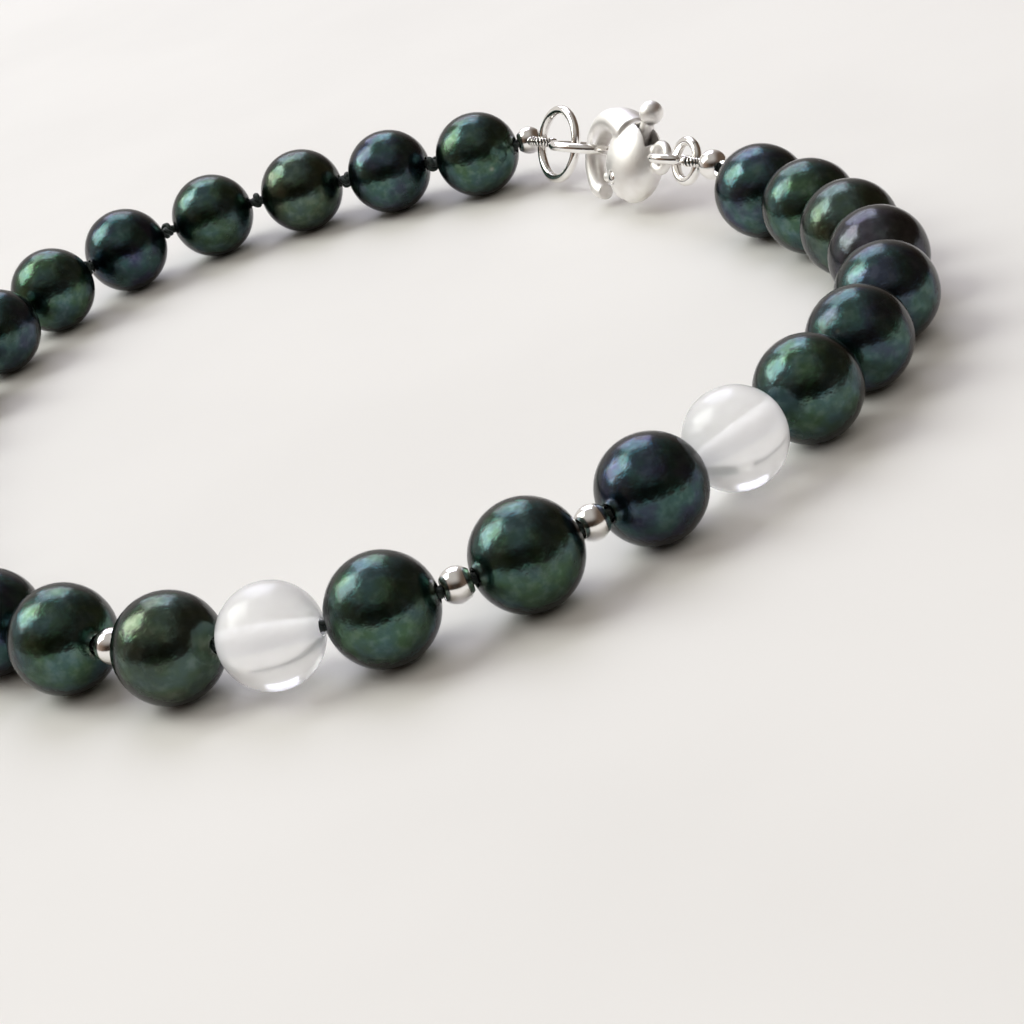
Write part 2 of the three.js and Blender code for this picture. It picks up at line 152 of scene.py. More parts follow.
def skin(rings, closed=False):
    """A form from rings of points, joined row to row. An open one is capped at both ends."""
    sides = len(rings[0])
    points = [point for ring in rings for point in ring]
    faces = []
    rows = len(rings) if closed else len(rings) - 1
    for row in range(rows):
        here, there = row * sides, (row + 1) % len(rings) * sides
        for side in range(sides):
            after = (side + 1) % sides
            faces.append((here + side, here + after, there + after, there + side))
    if not closed:
        last = (len(rings) - 1) * sides
        faces.append(tuple(reversed(range(sides))))
        faces.append(tuple(range(last, last + sides)))
    return points, faces


def together(forms):
    """Several forms as one."""
    points, faces = [], []
    for more_points, more_faces in forms:
        start = len(points)
        points.extend(more_points)
        faces.extend(tuple(start + i for i in face) for face in more_faces)
    return points, faces


def placed(form, place):
    points, faces = form
    return [place @ point for point in points], faces


# %% [markdown]
# ## From a form to a piece
# A piece has to ride on a body of the frame, so that it follows the clasp's lever when that moves, and it
# hides the plain node that it stands for. Its points are written where the piece lies, so its object sits
# at the origin, as a node's does. That has a second use: a pattern that reads object coordinates then
# differs from bead to bead.

# %% Making a piece
SHARP_ANGLE = math.radians(38)


def make_mesh(name, form, materials):
    points, faces = form
    mesh = bpy.data.meshes.new(name)
    mesh.from_pydata([point * MM for point in points], [], faces)
    mesh.shade_smooth()
    mesh.set_sharp_from_angle(angle=SHARP_ANGLE)
    for material in materials:
        mesh.materials.append(material)
    return mesh


def make_piece(mesh, node, body="bracelet"):
    piece = bpy.data.objects.new(mesh.name, mesh)
    bpy.context.scene.collection.objects.link(piece)
    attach(piece, body)
    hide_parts(node)
    return piece


# %% [markdown]
# ## Lines to follow
# Silk, coils, rings and the clasp's claw all follow a line. A centripetal Catmull-Rom line passes through
# given points without overshooting. Two directions across the line, carried along it without
# twisting, give a wire its thickness.

# %% Lines


def line_through(points, steps):
    """A smooth line through the points, with so many steps from each one to the next."""
    ends = [2 * points[0] - points[1], *points, 2 * points[-1] - points[-2]]
    line = []
    for a, b, c, d in zip(ends, ends[1:], ends[2:], ends[3:]):
        at_b = math.sqrt((b - a).length)
        at_c = at_b + math.sqrt((c - b).length)
        at_d = at_c + math.sqrt((d - c).length)
        for step in range(steps):
            t = at_b + (at_c - at_b) * step / steps
            ab = a.lerp(b, t / at_b)
            bc = b.lerp(c, (t - at_b) / (at_c - at_b))
            cd = c.lerp(d, (t - at_c) / (at_d - at_c))
            abc = ab.lerp(bc, t / at_c)
            bcd = bc.lerp(cd, (t - at_b) / (at_d - at_b))
            line.append(abc.lerp(bcd, (t - at_b) / (at_c - at_b)))
    line.append(points[-1].copy())
    return line


def evenly(line, step):
    """The same line with its points about one step apart."""
    total = sum((b - a).length for a, b in zip(line, line[1:]))
    count = max(round(total / step), 1)
    even = [line[0].copy()]
    gone, wanted = 0.0, total / count
    for a, b in zip(line, line[1:]):
        span = (b - a).length
        while gone + span >= wanted * len(even) and len(even) < count:
            even.append(a.lerp(b, (wanted * len(even) - gone) / span))
        gone += span
    even.append(line[-1].copy())
    return even


def carried(line, closed=False):
    """For each point of a line, two directions across it that turn as little as they can."""
    count = len(line)
    across = None
    pairs = []
    for i, point in enumerate(line):
        before = line[(i - 1) % count] if closed else line[max(i - 1, 0)]
        after = line[(i + 1) % count] if closed else line[min(i + 1, count - 1)]
        along = (after - before).normalized()
        if across is None:
            across = along.orthogonal()
        across = (across - along * across.dot(along)).normalized()
        pairs.append((across.copy(), along.cross(across)))
    return pairs


def circle(middle, side, top, radius, count):
    """A ring of points round a middle, from one direction towards another."""
    angles = [2 * math.pi * i / count for i in range(count)]
    return [middle + side * (radius * math.cos(a)) + top * (radius * math.sin(a)) for a in angles]


def wire(line, radius, sides, closed=False):
    """Round wire along a line."""
    pairs = carried(line, closed)
    rings = [circle(point, side, top, radius, sides) for point, (side, top) in zip(line, pairs)]
    return skin(rings, closed)


def wound(line, radius, pitch, start=0.0):
    """A helix round a line, one turn for each pitch of its length."""
    helix, gone = [], 0.0
    for i, (point, (side, top)) in enumerate(zip(line, carried(line))):
        gone += (point - line[i - 1]).length if i else 0.0
        angle = start + 2 * math.pi * gone / pitch
        helix.append(point + side * (radius * math.cos(angle)) + top * (radius * math.sin(angle)))
    return helix


# %% [markdown]
# ## Where the beads are
# The string starts at the clasp's hook end and runs round the loop. The frame gives every bead's middle,
# and each hole points from the bead before to the bead after, because that is how silk pulls a drilled
# bead straight. The bead's radius is measured from its node too: the furthest corner lies on the sphere,
# and the nearest one to the hole's line lies on the hole's rim.

# %% The string's order
STRING = [
    ("silver_ball", 1),
    ("pearl", 16),
    ("silver_ball", 1),
    ("pearl", 1),
    ("moonstone", 1),
    ("pearl", 1),
    ("silver_ball", 1),
    ("pearl", 1),
    ("silver_ball", 1),
    ("pearl", 1),
    ("moonstone", 1),
    ("pearl", 7),
    ("silver_ball", 1),
]
NUMBERING = {"pearl": "pearl_{:02d}", "moonstone": "moonstone_{}", "silver_ball": "silver_ball_{}"}


def strung_beads():
    beads, counts = [], {}
    for kind, count in STRING:
        for _ in range(count):
            counts[kind] = counts.get(kind, 0) + 1
            node = NUMBERING[kind].format(counts[kind])
            beads.append({"kind": kind, "node": node, "middle": middle_of(node)})
    for i, bead in enumerate(beads):
        before, after = beads[max(i - 1, 0)], beads[min(i + 1, len(beads) - 1)]
        along = (after["middle"] - before["middle"]).normalized()
        corners = [v.co / MM - bead["middle"] for v in frame["nodes"][bead["node"]].data.vertices]
        bead["along"] = along
        bead["radius"] = max(corner.length for corner in corners)
        bead["hole"] = min((corner - along * corner.dot(along)).length for corner in corners)
    return beads


def bead_place(bead):
    """Z runs along the hole and Y is up."""
    side = UP.cross(bead["along"]).normalized()
    top = bead["along"].cross(side)
    turn = Matrix((side, top, bead["along"])).transposed()
    return Matrix.Translation(bead["middle"]) @ turn.to_4x4()


beads = strung_beads()
for kind in NUMBERING:
    one = next(bead for bead in beads if bead["kind"] == kind)
    print(kind, "diameter", round(2 * one["radius"], 2), "hole", round(2 * one["hole"], 2))

# %% [markdown]
# ## A drilled bead
# A bead is a turned form: a half circle that leaves room for the hole, a small rounded rim, and the
# hole's wall, all in one closed outline. A sphere with a boolean cut leaves a hard edge and poor quads at
# the poles, and the rim is just where light catches a bead.

# %% Turning a bead
# Shares of the way round the rim at which its points lie
ROUNDING = (0.33, 0.67, 1)


def drilled_outline(radius, hole, rim, arc_steps):
    """Points (out, along) from the lower rim over the ball to the upper rim and back through the hole."""
    shoulder = math.asin((hole + rim) / radius)
    sweep = math.pi - 2 * shoulder
    outline = []
    for i in range(arc_steps + 1):
        angle = shoulder + sweep * i / arc_steps
        outline.append(Vector((radius * math.sin(angle), -radius * math.cos(angle))))
    edge, corner = outline[-1], Vector((hole, outline[-1].y))
    wall = corner - Vector((0, rim))
    rounding = [edge.lerp(corner, t).lerp(corner.lerp(wall, t), t) for t in ROUNDING]
    outline += rounding
    outline += [Vector((point.x, -point.y)) for point in reversed(rounding)]
    return outline


def turned(outline, sides):
    rings = []
    for side in range(sides):
        angle = 2 * math.pi * side / sides
        out = Vector((math.cos(angle), math.sin(angle), 0))
        rings.append([out * point.x + UP * point.y for point in outline])
    points, faces = skin(rings, closed=True)
    return points, [tuple(reversed(face)) for face in faces]


# %% [markdown]
# ## Small node helpers
# Shader nodes are easier to read as short calls than as rows of links, so these helpers add a node, fill
# its inputs with numbers or with other nodes' outputs, and hand it back.

# %% Node helpers


def fill(tree, node, inputs):
    """Gives a node's inputs their values, or links them to other nodes' outputs."""
    for socket, value in inputs.items():
        if isinstance(value, bpy.types.NodeSocket):
            tree.links.new(value, node.inputs[socket])
        else:
            node.inputs[socket].default_value = value


def add_node(tree, kind, inputs=None, **settings):
    node = tree.nodes.new(kind)
    for setting, value in settings.items():
        setattr(node, setting, value)
    fill(tree, node, inputs or {})
    return node


def maths(tree, operation, first, second):
    return add_node(tree, "ShaderNodeMath", {0: first, 1: second}, operation=operation).outputs[0]


def smooth_ramp(tree, value, start, end):
    """A share that rises softly from 0 to 1 as the value runs from the start to the end."""
    inputs = {"Value": value, "From Min": start, "From Max": end}
    return add_node(tree, "ShaderNodeMapRange", inputs, interpolation_type="SMOOTHSTEP").outputs["Result"]


def new_effect(name, inputs, outputs):
    """An empty node group with named number sockets, and a vector socket for the place on the piece."""
    effect = bpy.data.node_groups.new(name, "ShaderNodeTree")
    effect.interface.new_socket("Place", in_out="INPUT", socket_type="NodeSocketVector")
    for socket, value in inputs.items():
        made = effect.interface.new_socket(socket, in_out="INPUT", socket_type="NodeSocketFloat")
        made.default_value = value
    for socket in outputs:
        effect.interface.new_socket(socket, in_out="OUTPUT", socket_type="NodeSocketFloat")
    return effect, effect.nodes.new("NodeGroupInput").outputs, effect.nodes.new("NodeGroupOutput").inputs


def place_effect(tree, effect, place, **values):
    inputs = {"Place": place}
    inputs.update({name.replace("_", " "): value for name, value in values.items()})
    return add_node(tree, "ShaderNodeGroup", inputs, node_tree=effect).outputs


def new_material(name):
    material = bpy.data.materials.new(name)
    material.use_nodes = True
    tree = material.node_tree
    place = add_node(tree, "ShaderNodeTexCoord").outputs["Object"]
    return material, tree, tree.nodes["Principled BSDF"], place


def mix_colours(tree, share, first, second):
    mix = add_node(tree, "ShaderNodeMix", data_type="RGBA")
    for socket, value in (("Factor", share), ("A", first), ("B", second)):
        wanted = [s for s in mix.inputs if s.name == socket and s.enabled][0]
        if isinstance(value, bpy.types.NodeSocket):
            tree.links.new(value, wanted)
        else:
            wanted.default_value = value
    return [s for s in mix.outputs if s.enabled][0]


def between(tree, share, low, high):
    """A number that runs from low to high as the share runs from 0 to 1."""
    inputs = {"Value": share, "To Min": low, "To Max": high}
    return add_node(tree, "ShaderNodeMapRange", inputs).outputs["Result"]


def bumped(tree, shader, height, depth, base=None):
    """Raises the surface by a height from 0 to 1, times a depth in millimetres."""
    inputs = {"Height": height, "Distance": depth * MM, "Strength": 1.0}
    if base is not None:
        inputs["Normal"] = base
    normal = add_node(tree, "ShaderNodeBump", inputs).outputs["Normal"]
    tree.links.new(normal, shader.inputs["Normal"])
    return normal


def dented(tree, shader, pits, depth, base):
    """Sinks the surface where the pits are, by a depth in millimetres."""
    return bumped(tree, shader, maths(tree, "SUBTRACT", 1.0, pits), depth, base)


# %% [markdown]
# ## Effects that several finishes share
# Pearl, stone, silk and silver have much in common. Their colour is never quite even, so there are soft
# clouds. Their surface has a fine grain. And here and there the hard ones have a small pit, from growth,
# casting or wear. Each is a node group, built once and placed with the size and amount that a material
# needs. Sizes are given in millimetres, and the group turns them into the noise scale that object
# coordinates in metres need.

# %% Clouds


def per_metre(effect, size):
    return maths(effect, "DIVIDE", 1 / MM, size)


def build_clouds():
    effect, given, wanted = new_effect("soft_clouds", {"Size": 1, "Low": 0.35, "High": 0.65}, ["Mask"])
    inputs = {"Vector": given["Place"], "Scale": per_metre(effect, given["Size"]), "Detail": 3.0}
    clouds = add_node(effect, "ShaderNodeTexNoise", inputs)
    mask = smooth_ramp(effect, clouds.outputs["Fac"], given["Low"], given["High"])
    effect.links.new(mask, wanted["Mask"])
    return effect


soft_clouds = build_clouds()

# %% Grain


def build_grain():
    effect, given, wanted = new_effect("fine_grain", {"Size": 0.1, "Detail": 2}, ["Height"])
    inputs = {"Vector": given["Place"], "Scale": per_metre(effect, given["Size"]), "Detail": given["Detail"]}
    grain = add_node(effect, "ShaderNodeTexNoise", inputs)
    effect.links.new(grain.outputs["Fac"], wanted["Height"])
    return effect


fine_grain = build_grain()

# %% Pits
# A cell pattern puts one point in each cell. Near its point a cell can hold a pit, and the cell's own
# random number decides whether it does, so that pits stay rare.


def build_pits():
    effect, given, wanted = new_effect("small_pits", {"Spacing": 1, "Size": 0.2, "Share": 0.2}, ["Mask"])
    scale = per_metre(effect, given["Spacing"])
    cells = add_node(effect, "ShaderNodeTexVoronoi", {"Vector": given["Place"], "Scale": scale})
    near = smooth_ramp(effect, cells.outputs["Distance"], given["Size"], 0.0)
    parts = add_node(effect, "ShaderNodeSeparateColor", {"Color": cells.outputs["Color"]}).outputs
    chosen = maths(effect, "LESS_THAN", parts["Red"], given["Share"])
    effect.links.new(maths(effect, "MULTIPLY", near, chosen), wanted["Mask"])
    return effect


small_pits = build_pits()

# %% [markdown]
# ## Nacre
# A dark cultured pearl reflects like a green-black metal under a thin clear skin. The dark layers tint
# what they reflect, and the outermost layer adds a small white gloss. So the base is fully metallic with
# a deep colour, its edge tint is a grey purple, and a clear coat lies over it. A dielectric base with a
# dark colour was the other choice, but it loses the deep green glow that the table throws into the lower
# half of each pearl.
#
# Every pearl has its own overtone. It is kept on the mesh as a colour attribute, so one material serves
# all pearls. A second attribute, drill_edge, runs from one at the drilled hole to nothing a little way
# out. Where it is high, the nacre is chipped in places and the chalky layer under it shows.

# %% Nacre
CHALK = (0.30, 0.31, 0.27, 1)
DEEP_NACRE = (0.004, 0.010, 0.008, 1)
EDGE_TINT = (0.12, 0.10, 0.14, 1)
# Each pair runs from where a pattern is absent to where it is full
ORIENT_HUE = (0.41, 0.60)
VEIN_SATURATION = (1.1, 0.8)
VEIN_VALUE = (0.78, 1.32)
CLOUD_SHADE = (0, 0.45)
SCAR_CHALK = (0, 0.6)
NACRE_ROUGHNESS = (0.19, 0.29)
COAT_WEIGHT = 0.75
COAT_ROUGHNESS = 0.2
COAT_IOR = 1.5
DIMPLE_DEPTH = 0.045
SCAR_DEPTH = 0.03


def nacre_material():
    material, tree, shader, place = new_material("peacock_nacre")
    overtone = add_node(tree, "ShaderNodeAttribute", attribute_name="overtone").outputs["Color"]
    clouds = place_effect(tree, soft_clouds, place, Size=2.2, Low=0.3, High=0.75)["Mask"]
    orient = place_effect(tree, soft_clouds, place, Size=1.4, Low=0.3, High=0.7)["Mask"]
    veins = place_effect(tree, soft_clouds, place, Size=0.5, Low=0.4, High=0.7)["Mask"]
    scars = place_effect(tree, small_pits, place, Spacing=1.5, Size=0.16, Share=0.24)["Mask"]
    dimples = place_effect(tree, fine_grain, place, Size=0.45, Detail=2.0)["Height"]
    inputs = {
        "Color": overtone,
        "Hue": between(tree, orient, *ORIENT_HUE),
        "Saturation": between(tree, veins, *VEIN_SATURATION),
        "Value": between(tree, veins, *VEIN_VALUE),
    }
    orient_colour = add_node(tree, "ShaderNodeHueSaturation", inputs).outputs["Color"]
    shaded = mix_colours(tree, between(tree, clouds, *CLOUD_SHADE), orient_colour, DEEP_NACRE)
    scarred = mix_colours(tree, between(tree, scars, *SCAR_CHALK), shaded, CHALK)
    chips = place_effect(tree, soft_clouds, place, Size=0.22, Low=0.46, High=0.6)["Mask"]
    drilled = add_node(tree, "ShaderNodeAttribute", attribute_name="drill_edge").outputs["Fac"]
    inputs = {
        "Base Color": mix_colours(tree, maths(tree, "MULTIPLY", chips, drilled), scarred, CHALK),
        "Roughness": between(tree, clouds, *NACRE_ROUGHNESS),
        "Metallic": 1,
        "Specular Tint": EDGE_TINT,
        "Coat Weight": COAT_WEIGHT,
        "Coat Roughness": COAT_ROUGHNESS,
        "Coat IOR": COAT_IOR,
    }
    fill(tree, shader, inputs)
    smooth = bumped(tree, shader, dimples, DIMPLE_DEPTH)
    dented(tree, shader, scars, SCAR_DEPTH, smooth)
    return material


nacre = nacre_material()

# %% [markdown]
# ## Pearls
# Pearls grow, so none is a true sphere. Two soft noises push the surface in and out by a few hundredths
# of a millimetre: enough to make the window's reflection waver. The overtones follow the picture where a
# pearl shows in it, and the rest take one of the common ones in turn.

# %% Overtones
GREEN = (0.044, 0.108, 0.080, 1)
TEAL = (0.036, 0.090, 0.098, 1)
BLUE = (0.026, 0.066, 0.086, 1)
MOSS = (0.054, 0.098, 0.062, 1)
PLUM = (0.052, 0.058, 0.072, 1)
COMMON_OVERTONES = [GREEN, TEAL, MOSS, GREEN, BLUE]
SEEN_OVERTONES = {
    "pearl_17": MOSS,
    "pearl_18": GREEN,
    "pearl_19": GREEN,
    "pearl_20": BLUE,
    "pearl_21": GREEN,
    "pearl_22": TEAL,
    "pearl_23": TEAL,
    "pearl_24": PLUM,
    "pearl_25": MOSS,
    "pearl_26": GREEN,
}

# %% Pearls
PEARL_SIDES = 96
PEARL_ARC_STEPS = 60
PEARL_RIM = 0.07
CHIPPED_WIDTH = 0.3
LUMP_SHARE = 0.012
RIPPLE_SHARE = 0.004
LUMPS_PER_MM = 0.22
RIPPLES_PER_MM = 0.75


def grown(point, middle):
    """A point of a pearl, moved out or in by the pearl's own unevenness."""
    lumps = noise.noise(point * LUMPS_PER_MM + middle)
    ripples = noise.noise(point * RIPPLES_PER_MM + middle)
    return point * (1 + LUMP_SHARE * lumps + RIPPLE_SHARE * ripples)


def make_pearl(bead, overtone):
    outline = drilled_outline(bead["radius"], bead["hole"], PEARL_RIM, PEARL_ARC_STEPS)
    points, faces = turned(outline, PEARL_SIDES)
    uneven = [grown(point, bead["middle"]) for point in points]
    form = placed((uneven, faces), bead_place(bead))
    mesh = make_mesh(bead["node"] + "_nacre", form, [nacre])
    colours = mesh.color_attributes.new("overtone", "FLOAT_COLOR", "POINT")
    colours.data.foreach_set("color", list(overtone) * len(points))
    from_hole = [math.hypot(point.x, point.y) - bead["hole"] for point in points]
    edges = mesh.attributes.new("drill_edge", "FLOAT", "POINT")
    edges.data.foreach_set("value", [max(1 - away / CHIPPED_WIDTH, 0) for away in from_hole])
    return make_piece(mesh, bead["node"])


pearls = [bead for bead in beads if bead["kind"] == "pearl"]
for number, bead in enumerate(pearls):
    overtone = SEEN_OVERTONES.get(bead["node"], COMMON_OVERTONES[number % len(COMMON_OVERTONES)])
    make_pearl(bead, overtone)
print("pearls:", len(pearls))

# %% [markdown]
# ## Milky stones
# The two clear beads are polished but not quite pure: light goes through them, and a faint milkiness
# stays behind. Two thirds of transmission over a white base that scatters light does that without a
# volume, which would need many more samples. A faint white emission over the whole stone is painted
# light: it lifts the stone as the light scattered inside it would. The drill leaves its hole frosted, and
# that frosted tube, magnified by the ball round it, is the white band that one sees across each stone. So
# the hole's wall gets a material of its own. It is speckled, and its brightness is painted too: the wall
# glows, most on its upper side, where the ball gathers the light, with painted shade underneath. The
# attribute lit_side says where that is.

# %% Stone and its frosted hole
CLEAR_WHITE = (0.995, 0.995, 1.0, 1)
VEIL_WHITE = (0.96, 0.96, 0.97, 1)
MILK_DEPTH = 3
# A painted glow: the stone gives off a little white light of its own, standing in for scattered light
STONE_PAINTED_GLOW = 0.065
STONE_CLEARNESS = 0.66
STONE_ROUGHNESS = (0.17, 0.45)
STONE_IOR = 1.53
STONE_GLOSS = 0.3
STONE_GRAIN_DEPTH = 0.004
# The frost's white is the wall's own colour and also the bright end of its painted glow. The glow is lit on
# the upper side and has painted shade below.
FROST_WHITE_AND_GLOW = (0.98, 0.98, 0.99, 1)
FROST_SHADE = (0.40, 0.40, 0.43, 1)
FROST_PAINTED_GLOW = 0.42
FROST_PAINTED_SPECKLE = (1, 0.5)
FROST_ROUGHNESS = (0.28, 0.5)
FROST_GRAIN_DEPTH = 0.02


def stone_material():
    material, tree, shader, place = new_material("milky_stone")
    veils = place_effect(tree, soft_clouds, place, Size=2.6, Low=0.35, High=0.75)["Mask"]
    specks = place_effect(tree, small_pits, place, Spacing=1.1, Size=0.08, Share=0.25)["Mask"]
    inputs = {
        "Base Color": mix_colours(tree, veils, CLEAR_WHITE, VEIL_WHITE),
        "Roughness": between(tree, specks, *STONE_ROUGHNESS),
        "Transmission Weight": STONE_CLEARNESS,
        # Painted light: a faint white glow over the whole stone
        "Emission Color": CLEAR_WHITE,
        "Emission Strength": STONE_PAINTED_GLOW,
        "Specular IOR Level": STONE_GLOSS,
        "Subsurface Weight": 1,
        "Subsurface Radius": (1, 1, 1),
        "Subsurface Scale": MILK_DEPTH * MM,
        "IOR": STONE_IOR,
    }
    fill(tree, shader, inputs)
    grain = place_effect(tree, fine_grain, place, Size=0.6, Detail=1.0)["Height"]
    bumped(tree, shader, grain, STONE_GRAIN_DEPTH)
    return material


def frost_material():
    material, tree, shader, place = new_material("frosted_hole")
    patches = place_effect(tree, soft_clouds, place, Size=0.25, Low=0.4, High=0.6)["Mask"]
    lit = add_node(tree, "ShaderNodeAttribute", attribute_name="lit_side").outputs["Fac"]
    # Painted light: the wall's glow is speckled and strongest on its upper side, with painted shade below
    speckled_painted_light = maths(tree, "MULTIPLY", lit, between(tree, patches, *FROST_PAINTED_SPECKLE))
    inputs = {
        "Base Color": mix_colours(tree, patches, FROST_WHITE_AND_GLOW, VEIL_WHITE),
        "Roughness": between(tree, patches, *FROST_ROUGHNESS),
        "Emission Color": mix_colours(tree, speckled_painted_light, FROST_SHADE, FROST_WHITE_AND_GLOW),
        "Emission Strength": FROST_PAINTED_GLOW,
    }
    fill(tree, shader, inputs)
    grain = place_effect(tree, fine_grain, place, Size=0.06, Detail=3.0)["Height"]
    bumped(tree, shader, grain, FROST_GRAIN_DEPTH)
    return material


milky_stone = stone_material()
frosted_hole = frost_material()

# %% Stones
STONE_SIDES = 112
STONE_ARC_STEPS = 72
STONE_RIM = 0.05


def make_stone(bead):
    outline = drilled_outline(bead["radius"], bead["hole"], STONE_RIM, STONE_ARC_STEPS)
    form = placed(turned(outline, STONE_SIDES), bead_place(bead))
    mesh = make_mesh(bead["node"] + "_polished", form, [milky_stone, frosted_hole])
    # Painted light: the upper side of the hole's wall is given the brightest glow
    upness = [math.sin(2 * math.pi * side / STONE_SIDES) for side in range(STONE_SIDES)]
    lit = mesh.attributes.new("lit_side", "FLOAT", "POINT")
    lit.data.foreach_set("value", [max(up, 0) ** 2 for up in upness for _ in outline])
    wall_row = STONE_ARC_STEPS + len(ROUNDING)
    for face in mesh.polygons:
        if face.index % len(outline) == wall_row:
            face.material_index = 1
    return make_piece(mesh, bead["node"])


stones = [bead for bead in beads if bead["kind"] == "moonstone"]
for bead in stones:
    make_stone(bead)
print("stones:", len(stones))

# %% [markdown]
# ## Silver
# All the metal is silver, but not all of it is finished alike. The little balls and the drawn wire of the
# rings are polished, and the cast clasp is tumbled, which leaves it softer. Silver also darkens where no
# cloth or skin rubs it. One function builds every silver finish from the same effects, with its own
# amounts.

# %% Silver finishes
BRIGHT_SILVER = (0.95, 0.935, 0.91, 1)
WARM_TARNISH = (0.55, 0.47, 0.38, 1)
DING_DEPTH = 0.006


def silver_material(name, gloss, dull, tarnish, grain_size, grain_depth):
    material, tree, shader, place = new_material(name)
    smears = place_effect(tree, soft_clouds, place, Size=0.9, Low=0.35, High=0.8)["Mask"]
    dings = place_effect(tree, small_pits, place, Spacing=0.6, Size=0.09, Share=0.2)["Mask"]
    inputs = {
        "Base Color": mix_colours(tree, between(tree, smears, 0, tarnish), BRIGHT_SILVER, WARM_TARNISH),
        "Roughness": between(tree, smears, gloss, dull),
        "Metallic": 1,
    }
    fill(tree, shader, inputs)
    grain = place_effect(tree, fine_grain, place, Size=grain_size, Detail=2.0)["Height"]
    smooth = bumped(tree, shader, grain, grain_depth)
    dented(tree, shader, dings, DING_DEPTH, smooth)
    return material


SILVER_FINISHES = [
    {"name": "mirror_silver", "gloss": 0.14, "dull": 0.24, "tarnish": 0.12,
     "grain_size": 0.3, "grain_depth": 0.003},
    {"name": "drawn_silver", "gloss": 0.1, "dull": 0.2, "tarnish": 0.2,
     "grain_size": 0.08, "grain_depth": 0.0015},
    {"name": "cast_silver", "gloss": 0.46, "dull": 0.58, "tarnish": 0.12,
     "grain_size": 0.2, "grain_depth": 0.004},
]
mirror_silver, drawn_silver, cast_silver = [silver_material(**finish) for finish in SILVER_FINISHES]

# %% Silver balls
BALL_SIDES = 48
BALL_ARC_STEPS = 28
BALL_RIM = 0.05


def make_ball(bead):
    outline = drilled_outline(bead["radius"], bead["hole"], BALL_RIM, BALL_ARC_STEPS)
    form = placed(turned(outline, BALL_SIDES), bead_place(bead))
    mesh = make_mesh(bead["node"] + "_polished", form, [mirror_silver])
    return make_piece(mesh, bead["node"])


balls = [bead for bead in beads if bead["kind"] == "silver_ball"]
for bead in balls:
    make_ball(bead)
print("silver balls:", len(balls))

# %% [markdown]
# ## Silk
# Stringing silk is a three-ply cord. Three plies wound round one line show as cord even where only a
# little of it is seen between two beads, and no bump map could give that outline. A knot fills each wide
# gap. A trefoil is the simplest knot there is and is what an overhand knot becomes when its ends are
# joined, so one small trefoil round the cord, turned a different way each time, reads as a drawn-up knot.

# %% Silk
SILK_DARK = (0.008, 0.014, 0.012, 1)
SILK_LIGHT = (0.030, 0.046, 0.040, 1)
SILK_ROUGHNESS = (0.4, 0.75)
SILK_SHEEN = 0.4
SHEEN_ROUGHNESS = 0.35
FIBRE_DEPTH = 0.02


def silk_material():
    material, tree, shader, place = new_material("dark_silk")
    uneven = place_effect(tree, soft_clouds, place, Size=0.5, Low=0.3, High=0.7)["Mask"]
    fibre = place_effect(tree, fine_grain, place, Size=0.05, Detail=3.0)["Height"]
    inputs = {
        "Base Color": mix_colours(tree, uneven, SILK_DARK, SILK_LIGHT),
        "Roughness": between(tree, fibre, *SILK_ROUGHNESS),
        "Sheen Weight": SILK_SHEEN,
        "Sheen Roughness": SHEEN_ROUGHNESS,
    }
    fill(tree, shader, inputs)
    bumped(tree, shader, fibre, FIBRE_DEPTH)
    return material


dark_silk = silk_material()

# %% The cord and its knots
SILK_DIAMETER = 0.6
PLIES = 3
PLY_DIAMETER = 0.31
PLY_PITCH = 1.5
SILK_STEP = 0.16
PLY_SIDES = 7
LEAST_KNOT_GAP = 0.5
KNOT_DIAMETER = 1.15
KNOT_WIRE = 0.34
KNOT_LENGTH_SHARE = 0.72
KNOT_STEPS = 60
KNOT_SIDES = 8
TREFOIL_REACH = 3

random.seed(7)


def hole_ends(bead):
    reach = bead["along"] * math.sqrt(bead["radius"] ** 2 - bead["hole"] ** 2)
    return bead["middle"] - reach, bead["middle"] + reach


def trefoil(middle, along, turn):
    """A knot of one round strand, drawn up round a point of the cord."""
    side = along.orthogonal().normalized()
    side.rotate(Matrix.Rotation(turn, 3, along))
    top = along.cross(side)
    size = (KNOT_DIAMETER - KNOT_WIRE) / 2 / TREFOIL_REACH
    line = []
    for i in range(KNOT_STEPS):
        t = 2 * math.pi * i / KNOT_STEPS
        across = side * (math.sin(t) + 2 * math.sin(2 * t)) + top * (math.cos(t) - 2 * math.cos(2 * t))
        lift = along * (-math.sin(3 * t) * TREFOIL_REACH / 2 * KNOT_LENGTH_SHARE)
        line.append(middle + (across + lift) * size)
    return wire(line, KNOT_WIRE / 2, KNOT_SIDES, closed=True)


def make_silk():
    stops = [end for bead in beads for end in hole_ends(bead)]
    line = evenly(stops, SILK_STEP)
    reach = (SILK_DIAMETER - PLY_DIAMETER) / 2
    forms = []
    for ply in range(PLIES):
        helix = wound(line, reach, PLY_PITCH, 2 * math.pi * ply / PLIES)
        forms.append(wire(helix, PLY_DIAMETER / 2, PLY_SIDES))
    knots = 0
    for bead, after in zip(beads, beads[1:]):
        start, end = hole_ends(bead)[1], hole_ends(after)[0]
        if (end - start).length > LEAST_KNOT_GAP:
            knots += 1
            forms.append(trefoil((start + end) / 2, (end - start).normalized(), random.uniform(0, math.pi)))
    print("silk knots:", knots)
    mesh = make_mesh("silk_thread_plied", together(forms), [dark_silk])
    return make_piece(mesh, "silk_thread")


make_silk()

# %% [markdown]
# ## The line of the findings
# Rings, guards and clasp hang on one straight line from the first silver ball to the last. The lever's
# hinge gives the direction across the clasp, and with the line that fixes the clasp's own three axes:
# along it, through its thickness, and up to the thumb knob.

